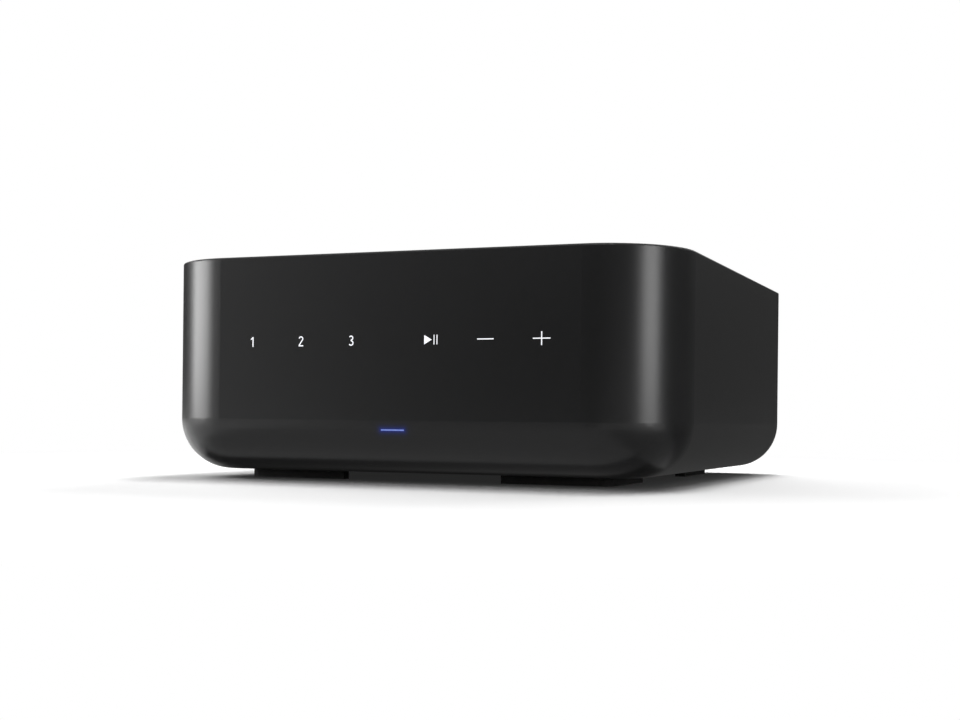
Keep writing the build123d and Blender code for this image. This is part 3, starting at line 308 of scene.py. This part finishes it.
def folded_steel():
    """Nickel-plated shell of the USB socket, around its black tongue."""
    low, high = node_corners("usb_socket")
    sides = Vector((0.9, 1.4, 1.2)) * mm
    tongue = surface("folded_steel", (0.015, 0.015, 0.016), rough=(0.2, 0.34), grain=0.2 * mm,
                     depth=0.004 * mm, patch=3 * mm)
    return metal_outside(tongue, low + sides, high - sides, (0.63, 0.61, 0.57))


def black_steel():
    """Black oxide on steel screws, lighter on the edges of the recess: rubbed bright, and a painted
    highlight.
    """
    return surface("black_steel", (0.03, 0.03, 0.032), rough=(0.3, 0.45), grain=0.2 * mm,
                   depth=0.006 * mm, edge_wear_and_sheen=(0.18, 0.17, 0.16), patch=2 * mm, metallic=0.8)


# Materials of the inside

def frame_plastic():
    """White moulding that keeps the lights of the marks apart."""
    return surface("frame_plastic", (0.7, 0.7, 0.67), rough=(0.45, 0.6), depth=0.01 * mm)


def solder_mask():
    """Green solder mask over a faint weave of glass and blocks of copper."""
    material, tree, shader = new_material("solder_mask")
    shader.inputs["Coat Weight"].default_value = 0.25
    place = place_on_object(tree)
    blocks = tree.nodes.new("ShaderNodeTexBrick")
    blocks.inputs["Scale"].default_value = 1.0
    blocks.inputs["Brick Width"].default_value = 7 * mm
    blocks.inputs["Row Height"].default_value = 2.4 * mm
    blocks.inputs["Mortar Size"].default_value = 0.25 * mm
    blocks.inputs["Color1"].default_value = (0.012, 0.11, 0.045, 1)
    blocks.inputs["Color2"].default_value = (0.016, 0.14, 0.055, 1)
    blocks.inputs["Mortar"].default_value = (0.008, 0.06, 0.03, 1)
    tree.links.new(place, blocks.inputs["Vector"])
    edge, rounded = edges(tree, 0.15 * mm)
    tone = mix_colours(tree, edge, blocks.outputs["Color"], (0.42, 0.38, 0.2))
    tree.links.new(tone, shader.inputs["Base Color"])
    weave = noise(tree, place, 0.5 * mm)
    tree.links.new(remap(tree, weave, 0.3, 0.42), shader.inputs["Roughness"])
    bump(tree, shader, blocks.outputs["Fac"], 0.02 * mm, rounded, strength=0.5)
    return material


def flat_cable():
    """White flat cable with its printed lengthwise conductors."""
    return surface("flat_cable", (0.75, 0.75, 0.72), shade=(0.5, 0.5, 0.49), rough=(0.35, 0.5),
                   patch=0.9 * mm, stretch=(1, 0.05, 0.05), depth=0.02 * mm)


def zinc_steel():
    """Zinc-plated sheet with its rolling direction."""
    return surface("zinc_steel", (0.5, 0.51, 0.52), shade=(0.4, 0.41, 0.43), rough=(0.28, 0.45),
                   depth=0.006 * mm, stretch=(0.04, 1, 1), metallic=1.0, patch=9 * mm)


def plain_brass():
    """Turned brass."""
    return surface("plain_brass", (0.62, 0.42, 0.16), shade=(0.48, 0.3, 0.1), rough=(0.25, 0.4),
                   grain=0.3 * mm, depth=0.008 * mm, metallic=1.0, patch=4 * mm, stretch=(1, 1, 0.1))


def enamelled_copper():
    """Rows of enamelled wire around a core."""
    material, tree, shader = new_material("enamelled_copper")
    shader.inputs["Metallic"].default_value = 0.6
    shader.inputs["Coat Weight"].default_value = 0.4
    wires = tree.nodes.new("ShaderNodeTexWave")
    wires.inputs["Scale"].default_value = 400.0
    wires.inputs["Distortion"].default_value = 0.6
    tree.links.new(place_on_object(tree), wires.inputs["Vector"])
    tone = mix_colours(tree, wires.outputs["Fac"], (0.16, 0.05, 0.02), (0.5, 0.2, 0.07))
    tree.links.new(tone, shader.inputs["Base Color"])
    tree.links.new(remap(tree, wires.outputs["Fac"], 0.4, 0.25, 0.0, 1.0), shader.inputs["Roughness"])
    bump(tree, shader, wires.outputs["Fac"], 0.15 * mm)
    return material


def fuse_glass():
    """Clear glass with a little haze, between plated caps and clips."""
    material, tree, shader = new_material("fuse_glass")
    shader.inputs["Transmission Weight"].default_value = 0.7
    shader.inputs["IOR"].default_value = 1.5
    haze = noise(tree, place_on_object(tree), 2 * mm)
    tone = mix_colours(tree, haze, (0.8, 0.84, 0.84), (0.6, 0.66, 0.66))
    tree.links.new(tone, shader.inputs["Base Color"])
    tree.links.new(remap(tree, haze, 0.04, 0.14), shader.inputs["Roughness"])
    low, high = node_corners("mains_fuse")
    ends = Vector((5, -1, -1)) * mm
    return metal_outside(material, low + ends, high - ends, (0.6, 0.6, 0.58))


def potted_box():
    """Yellow boxes of the film capacitors."""
    return surface("potted_box", (0.62, 0.4, 0.03), shade=(0.5, 0.32, 0.03), rough=(0.35, 0.5),
                   depth=0.012 * mm)


def can_sleeve():
    """Shrunk dark sleeve around a can whose bare top, which faces upright, is aluminium."""
    leaning, upright = 0.9, 0.98
    material = surface("can_sleeve", (0.025, 0.027, 0.045), shade=(0.05, 0.055, 0.08),
                       rough=(0.3, 0.42), patch=7 * mm, stretch=(1, 1, 0.1), depth=0.01 * mm)
    tree = material.node_tree
    shader = tree.nodes["Principled BSDF"]
    geometry = tree.nodes.new("ShaderNodeNewGeometry")
    parts = tree.nodes.new("ShaderNodeSeparateXYZ")
    tree.links.new(geometry.outputs["True Normal"], parts.inputs["Vector"])
    top = remap(tree, parts.outputs["Z"], 0.0, 1.0, leaning, upright)
    colour = shader.inputs["Base Color"].links[0].from_socket
    tree.links.new(mix_colours(tree, top, colour, (0.55, 0.56, 0.57)), shader.inputs["Base Color"])
    tree.links.new(top, shader.inputs["Metallic"])
    return material


def extruded_aluminium():
    """Bare aluminium with the long lines of its extrusion."""
    return surface("extruded_aluminium", (0.6, 0.61, 0.62), shade=(0.52, 0.53, 0.54), rough=(0.3, 0.48),
                   grain=0.35 * mm, depth=0.012 * mm, stretch=(1, 0.03, 1), metallic=1.0)


def moulding_compound(name="moulding_compound"):
    """Matt black epoxy of chips and coils."""
    return surface(name, (0.022, 0.022, 0.022), rough=(0.55, 0.7), depth=0.02 * mm)


def transistor_case():
    """Moulded cases that stand on tinned legs."""
    low, high = node_corners("power_transistors")
    side, leg = 1 * mm, 6 * mm
    return metal_outside(moulding_compound("transistor_case"), low + Vector((-side, -side, leg)),
                         high + Vector((side, side, side)), (0.6, 0.6, 0.59))


def ferrite():
    """Sintered dark grey core with lighter edges, partly wear and partly a painted highlight."""
    return surface("ferrite", (0.05, 0.05, 0.053), shade=(0.035, 0.035, 0.037), rough=(0.45, 0.7),
                   depth=0.03 * mm, edge_wear_and_sheen=(0.12, 0.12, 0.12), patch=3 * mm)


def winding_tape():
    """Yellow tape wound in overlapping turns."""
    return surface("winding_tape", (0.72, 0.5, 0.06), shade=(0.6, 0.4, 0.05), rough=(0.25, 0.4),
                   patch=2.5 * mm, stretch=(0.2, 0.2, 3), depth=0.03 * mm)


def tin_plate():
    """Tinned sheet."""
    return surface("tin_plate", (0.62, 0.62, 0.61), shade=(0.54, 0.54, 0.53), rough=(0.25, 0.42),
                   grain=0.8 * mm, depth=0.02 * mm, metallic=1.0, patch=4 * mm)


def wire_sleeve():
    """Blue insulation of the mains leads."""
    return surface("wire_sleeve", (0.06, 0.09, 0.32), rough=(0.4, 0.55), depth=0.01 * mm, patch=5 * mm)


# Which nodes take which material
finishes = {
    case_with_painted_glow: ["shell"],
    satin_case: ["top_cover"],
    powder_coat: ["rear_panel"],
    foot_rubber: ["foot_front_left", "foot_front_right", "foot_rear_left", "foot_rear_right"],
    mark_white: ["icon_windows"],
    led_blue: ["led_window"],
    frame_plastic: ["light_frame"],
    solder_mask: ["touch_board", "power_board", "amplifier_board", "streamer_board"],
    flat_cable: ["touch_ribbon"],
    zinc_steel: ["chassis_tray", "base_screws", "board_screws"],
    black_steel: ["panel_screws"],
    plain_brass: ["streamer_pillars", "speaker_straps"],
    enamelled_copper: ["mains_choke"],
    fuse_glass: ["mains_fuse"],
    potted_box: ["film_capacitors"],
    can_sleeve: ["supply_capacitors"],
    extruded_aluminium: ["power_heatsink", "amplifier_heatsink"],
    moulding_compound: ["amplifier_chips", "output_inductors"],
    transistor_case: ["power_transistors"],
    ferrite: ["transformer_core"],
    winding_tape: ["transformer_winding"],
    tin_plate: ["module_shield", "antennas"],
    socket_plastic: ["button_switches", "mains_inlet", "switch_housing", "rca_housing", "optical_socket",
                     "optical_flap", "ethernet_socket", "setup_button", "pairing_button", "power_rocker",
                     "post_collars"],
    nickel_plate: ["inlet_pins"],
    folded_steel: ["usb_socket"],
    wire_sleeve: ["mains_leads"],
    gold_plate: ["post_studs", "rca_sleeves", "clamp_washer_1", "clamp_washer_2", "clamp_washer_3",
                 "clamp_washer_4"],
}


def dress(material, names):
    """Gives CAD nodes their material."""
    for name in names:
        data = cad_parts[name].data
        data.materials.clear()
        data.materials.append(material)


def dress_all():
    """Gives every CAD node its material; caps and inserts differ only in their colour."""
    for make, names in finishes.items():
        dress(make(), names)
    red_moulding = glossy_cap("red_moulding", (0.42, 0.012, 0.014))
    white_moulding = glossy_cap("white_moulding", (0.72, 0.72, 0.7))
    black_moulding = glossy_cap("black_moulding", (0.014, 0.014, 0.015))
    dress(red_moulding, ["rca_inserts_red", "post_cap_2", "post_cap_4"])
    dress(white_moulding, ["rca_inserts_white"])
    dress(black_moulding, ["post_cap_1", "post_cap_3"])


# Printed marks and contacts on the back

ink = 0.03 * mm
stroke = 0.45 * mm
panel_face = 92 * mm
post_height = 30 * mm
rocker_axis = Vector((-76, 91, 58)) * mm
rocker_tilt = radians(-10)
rocker_valley, rocker_ridge, rocker_half_height = 3.2 * mm, 5.4 * mm, 7.6 * mm


def add_piece(name, build, place, body, material):
    """Makes a mesh with build(bm), moves it to its place and lets it ride on a body."""
    bm = bmesh.new()
    build(bm)
    bmesh.ops.transform(bm, matrix=place, verts=bm.verts)
    bmesh.ops.recalc_face_normals(bm, faces=bm.faces)
    mesh = bpy.data.meshes.new(name)
    bm.to_mesh(mesh)
    bm.free()
    mesh.materials.append(material)
    piece = bpy.data.objects.new(name, mesh)
    bpy.context.collection.objects.link(piece)
    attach(piece, body)
    return piece


def raise_faces(bm, height):
    """Gives flat faces on z = 0 a thickness."""
    raised = bmesh.ops.extrude_face_region(bm, geom=bm.faces[:])["geom"]
    corners = [item for item in raised if isinstance(item, bmesh.types.BMVert)]
    bmesh.ops.translate(bm, vec=(0, 0, height), verts=corners)


def bar_outline(length, width):
    """A bar along X with rounded ends."""
    steps = 6
    half, radius = (length - width) / 2, width / 2
    turns = [radians(-90 + 180 * step / steps) for step in range(steps + 1)]
    right = [(half + radius * cos(turn), radius * sin(turn)) for turn in turns]
    return right + [(-x, -y) for x, y in right]


def minus_sign(bm):
    """A level bar."""
    length = 3.2 * mm
    bm.faces.new([bm.verts.new((x, y, 0)) for x, y in bar_outline(length, stroke)])
    raise_faces(bm, ink)


def plus_sign(bm):
    """Two crossed bars with square ends."""
    reach, half = 1.6 * mm, stroke / 2
    arm = [(reach, half), (reach, -half), (half, -half)]
    turned = [(x * cos(turn) + y * sin(turn), y * cos(turn) - x * sin(turn))
              for turn in (0, radians(90), radians(180), radians(270)) for x, y in arm]
    bm.faces.new([bm.verts.new((x, y, 0)) for x, y in turned])
    raise_faces(bm, ink)


def off_ring(bm):
    """The O mark: a flat ring."""
    outer, inner, steps = 1.5 * mm, 1.1 * mm, 32
    turns = [radians(360 * step / steps) for step in range(steps)]
    rings = [[bm.verts.new((radius * cos(turn), radius * sin(turn), 0)) for turn in turns]
             for radius in (outer, inner)]
    for step in range(steps):
        following = (step + 1) % steps
        bm.faces.new((rings[0][step], rings[0][following], rings[1][following], rings[1][step]))
    raise_faces(bm, ink)


def on_bar(bm):
    """The I mark: an upright bar."""
    length = 3.0 * mm
    bm.faces.new([bm.verts.new((-y, x, 0)) for x, y in bar_outline(length, stroke)])
    raise_faces(bm, ink)


def facing_back(x, y, z):
    """Places a flat drawing on the back, seen from behind: its X points to the case's left."""
    return Matrix.Translation((x, y, z)) @ Matrix(((-1, 0, 0), (0, 0, 1), (0, 1, 0))).to_4x4()


def on_rocker(side):
    """Places a flat drawing on the upper (1) or lower (-1) half of the rocker's face at rest."""
    middle = Vector((0, (rocker_valley + rocker_ridge) / 2, side * rocker_half_height / 2))
    along = Vector((0, side * (rocker_ridge - rocker_valley), rocker_half_height)).normalized()
    across = Vector((-1, 0, 0))
    out = across.cross(along)
    face = Matrix((across, along, out)).transposed().to_4x4()
    tilt = Matrix.Rotation(rocker_tilt, 4, "X")
    return Matrix.Translation(rocker_axis) @ tilt @ Matrix.Translation(middle) @ face


def network_contacts(bm):
    """Eight spring contacts that slope down from the roof of the network socket.

    The line of a contact gives its drop below the roof at each depth behind the socket's face,
    both in millimetres."""
    count, pitch, width, thickness = 8, 1.02 * mm, 0.45 * mm, 0.2 * mm
    roof_height = 11.4 * mm
    line = [(1.2, 0.1), (3.0, 0.5), (5.0, 1.2), (7.5, 2.1), (9.5, 2.5), (11.5, 2.4)]
    low, high = node_corners("ethernet_socket")
    roof, face, middle = low.z + roof_height, high.y, (low.x + high.x) / 2
    for step in range(count):
        x = middle + pitch * (step - (count - 1) / 2)
        loops = [[bm.verts.new((x + side * width / 2, face - depth * mm, roof - drop * mm - below))
                  for side, below in ((-1, 0), (1, 0), (1, thickness), (-1, thickness))]
                 for depth, drop in line]
        for first, second in zip(loops, loops[1:]):
            for corner in range(4):
                following = (corner + 1) % 4
                bm.faces.new((first[corner], first[following], second[following], second[corner]))
        bm.faces.new(loops[0])
        bm.faces.new(loops[-1])


def print_ink():
    """White printing ink."""
    return surface("print_ink", (0.72, 0.72, 0.7), shade=(0.6, 0.6, 0.58), rough=(0.5, 0.62),
                   depth=0.01 * mm, patch=1.5 * mm)


def add_back_details():
    """Signs above the speaker posts, I and O on the rocker, and the network contacts.

    The status light is lit, so I is on the rocker's lower half, which is pressed at rest."""
    sign_lift = 11 * mm
    ink_white = print_ink()
    for number in range(1, 5):
        low, high = node_corners(f"post_cap_{number}")
        draw_sign = plus_sign if number % 2 == 0 else minus_sign
        place = facing_back((low.x + high.x) / 2, panel_face, post_height + sign_lift)
        add_piece(f"post_sign_{number}", draw_sign, place, "chassis", ink_white)
    add_piece("rocker_on_mark", on_bar, on_rocker(-1), "rocker", ink_white)
    add_piece("rocker_off_mark", off_ring, on_rocker(1), "rocker", ink_white)
    in_place = Matrix.Identity(4)
    gold = bpy.data.materials["gold_plate"]
    add_piece("network_contacts", network_contacts, in_place, "chassis", gold)


# Studio

def keep_off_level_faces(lamp):
    """Leaves the floor and the top cover out of what a lamp lights."""
    skipped = bpy.data.collections.new(f"{lamp.name}_skips")
    for piece in (bpy.data.objects["floor"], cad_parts["top_cover"]):
        skipped.objects.link(piece)
    for member in skipped.collection_objects:
        member.light_linking.link_state = "EXCLUDE"
    lamp.light_linking.receiver_collection = skipped


def add_softbox(name, azimuth, distance, height, width, tall, power, mirrored=True):
    """A rectangular lamp that faces the part; azimuth 0 is in front of it, 90 to its right.

    A lamp that isn't mirrored only softens the shadows and leaves no highlight."""
    part_middle = Vector((0, 0, 45 * mm))
    data = bpy.data.lights.new(name, "AREA")
    data.shape = "RECTANGLE"
    data.size = width
    data.size_y = tall
    data.energy = power
    lamp = bpy.data.objects.new(name, data)
    bpy.context.collection.objects.link(lamp)
    angle = radians(azimuth)
    lamp.location = (distance * sin(angle), -distance * cos(angle), height)
    aim = part_middle - lamp.location
    lamp.rotation_euler = aim.to_track_quat("-Z", "Y").to_euler()
    lamp.visible_glossy = mirrored
    return lamp


# Standing cards keep their shade up to the plain height and turn white towards their top
card_height, card_plain_height = 0.85, 0.36


def add_card(name, corners, faces, shades, fade=(-90, 90)):
    """A grey card that only the part's reflections see.

    Its shade goes from the first of shades to the second between the two azimuths of fade, and
    to the backdrop's white towards the card's upper edge."""
    mesh = bpy.data.meshes.new(name)
    mesh.from_pydata(corners, [], faces)
    card = bpy.data.objects.new(name, mesh)
    bpy.context.collection.objects.link(card)
    material, tree, shader = new_material(name)
    shader.inputs["Base Color"].default_value = (0, 0, 0, 1)
    shader.inputs["Specular IOR Level"].default_value = 0
    shader.inputs["Emission Color"].default_value = white
    direction = tree.nodes.new("ShaderNodeVectorMath")
    direction.operation = "NORMALIZE"
    tree.links.new(place_on_object(tree, (1, 1, 0)), direction.inputs[0])
    across = tree.nodes.new("ShaderNodeSeparateXYZ")
    tree.links.new(direction.outputs["Vector"], across.inputs["Vector"])
    fade_start, fade_end = (sin(radians(azimuth)) for azimuth in fade)
    shade = remap(tree, across.outputs["X"], *shades, fade_start, fade_end)
    upright = tree.nodes.new("ShaderNodeSeparateXYZ")
    tree.links.new(place_on_object(tree), upright.inputs["Vector"])
    glow = remap(tree, upright.outputs["Z"], shade, 1.0, card_plain_height, card_height)
    tree.links.new(glow, shader.inputs["Emission Strength"])
    mesh.materials.append(material)
    card.visible_camera = False
    card.visible_diffuse = False
    card.visible_shadow = False
    card.visible_transmission = False


def add_standing_card(name, start, end, shades, fade=(-90, 90)):
    """A low card bent around the table between two azimuths."""
    distance, steps = 1.8, 24
    corners = []
    for step in range(steps + 1):
        angle = radians(start + (end - start) * step / steps)
        x, y = distance * sin(angle), -distance * cos(angle)
        corners += [(x, y, 0), (x, y, card_height)]
    faces = [(low, low + 2, low + 3, low + 1) for low in range(0, 2 * steps, 2)]
    add_card(name, corners, faces, shades, fade)


def add_flat_card(name, x_span, y_span, shades, fade=(-90, 90)):
    """A card that lies just above the table."""
    lift = 0.3 * mm
    (left, right), (front, back) = x_span, y_span
    corners = [(left, front, lift), (right, front, lift), (right, back, lift), (left, back, lift)]
    add_card(name, corners, [(0, 1, 2, 3)], shades, fade)


def seen_directly(tree):
    """1 for what the camera sees, straight or in metal and glass, and 0 for light that spreads."""
    path = tree.nodes.new("ShaderNodeLightPath")
    total = path.outputs["Is Camera Ray"]
    for output in ("Is Glossy Ray", "Is Transmission Ray"):
        add = tree.nodes.new("ShaderNodeMath")
        add.use_clamp = True
        tree.links.new(total, add.inputs[0])
        tree.links.new(path.outputs[output], add.inputs[1])
        total = add.outputs["Value"]
    return total


def add_world():
    """White backdrop to the eye, and an even soft light from all around at a plain level."""
    ambient = 0.1
    world = bpy.data.worlds.new("studio")
    bpy.context.scene.world = world
    world.use_nodes = True
    tree = world.node_tree
    background = tree.nodes["Background"]
    background.inputs["Color"].default_value = white
    strength = remap(tree, seen_directly(tree), ambient, 1.0, 0.0, 1.0)
    tree.links.new(strength, background.inputs["Strength"])


def add_floor():
    """Pale floor that keeps the part's shadow and fades into the white backdrop further out.

    A faint glow keeps the core of the contact shadow dark grey."""
    reach, fade_start, fade_end = 8.0, 0.2, 0.4
    shadow_glow = 0.018
    mesh = bpy.data.meshes.new("floor")
    square = [(-reach, -reach, 0), (reach, -reach, 0), (reach, reach, 0), (-reach, reach, 0)]
    mesh.from_pydata(square, [], [(0, 1, 2, 3)])
    floor = bpy.data.objects.new("floor", mesh)
    bpy.context.collection.objects.link(floor)
    material, tree, shader = new_material("floor")
    shader.inputs["Base Color"].default_value = (0.88, 0.88, 0.88, 1)
    shader.inputs["Roughness"].default_value = 0.9
    shader.inputs["Specular IOR Level"].default_value = 0
    shader.inputs["Emission Color"].default_value = white
    shader.inputs["Emission Strength"].default_value = shadow_glow
    distance = tree.nodes.new("ShaderNodeVectorMath")
    distance.operation = "LENGTH"
    tree.links.new(place_on_object(tree), distance.inputs[0])
    fade = remap(tree, distance.outputs["Value"], 0.0, 1.0, fade_start, fade_end)
    seen = tree.nodes.new("ShaderNodeMath")
    seen.operation = "MULTIPLY"
    tree.links.new(fade, seen.inputs[0])
    tree.links.new(seen_directly(tree), seen.inputs[1])
    glow = tree.nodes.new("ShaderNodeEmission")
    mix = tree.nodes.new("ShaderNodeMixShader")
    tree.links.new(seen.outputs["Value"], mix.inputs["Fac"])
    tree.links.new(shader.outputs["BSDF"], mix.inputs[1])
    tree.links.new(glow.outputs["Emission"], mix.inputs[2])
    tree.links.new(mix.outputs["Shader"], tree.nodes["Material Output"].inputs["Surface"])
    mesh.materials.append(material)


def add_lamps():
    """Soft lamps for the shadow, and two low strips for the highlights on the front corners."""
    add_softbox("top", azimuth=180, distance=0.4, height=2.4, width=0.5, tall=0.5, power=17.4,
                mirrored=False)
    add_softbox("high_back", azimuth=180, distance=0.8, height=2.2, width=0.3, tall=0.3, power=16,
                mirrored=False)
    add_softbox("back", azimuth=180, distance=1.8, height=1.2, width=1.5, tall=0.8, power=41,
                mirrored=False)
    add_softbox("back_left", azimuth=-120, distance=1.5, height=1.2, width=0.8, tall=0.8, power=15.5,
                mirrored=False)
    add_softbox("side_left", azimuth=-90, distance=1.5, height=0.9, width=0.8, tall=0.8, power=11.6,
                mirrored=False)
    left = add_softbox("left", azimuth=-66, distance=1.3, height=0.2, width=0.72, tall=0.36, power=8.7)
    right = add_softbox("right", azimuth=69.5, distance=1.3, height=0.2, width=0.46, tall=0.36, power=4.2)
    keep_off_level_faces(left)
    keep_off_level_faces(right)


def add_cards():
    """The surroundings that the case mirrors: dark ones all around, and lighter ones near its front."""
    edge_front, edge_right = -0.101, 0.1
    add_standing_card("front_card", start=-44, end=52, shades=(0.48, 0.06), fade=(-38, -16))
    add_standing_card("rear_card", start=80, end=266, shades=(0.075, 0.075))
    add_flat_card("side_card", x_span=(0.08, 0.9), y_span=(-0.07, 1.6), shades=(0.11, 0.11))
    add_flat_card("corner_card", x_span=(edge_right, 0.2), y_span=(-0.2, -0.07), shades=(0.34, 0.34))
    add_flat_card("under_card", x_span=(-edge_right, edge_right), y_span=(edge_front, -0.09),
                  shades=(0.06, 0.19), fade=(-40, 40))
    add_flat_card("front_near_card", x_span=(-edge_right, edge_right), y_span=(-0.38, edge_front),
                  shades=(0.57, 0.57))
    add_flat_card("front_far_card", x_span=(-1.3, 0.3), y_span=(-1.8, -0.38), shades=(0.09, 0.09))


add_camera()
add_world()
add_floor()
add_lamps()
add_cards()
dress_all()
add_back_details()
bpy.context.scene.view_settings.view_transform = "Standard"
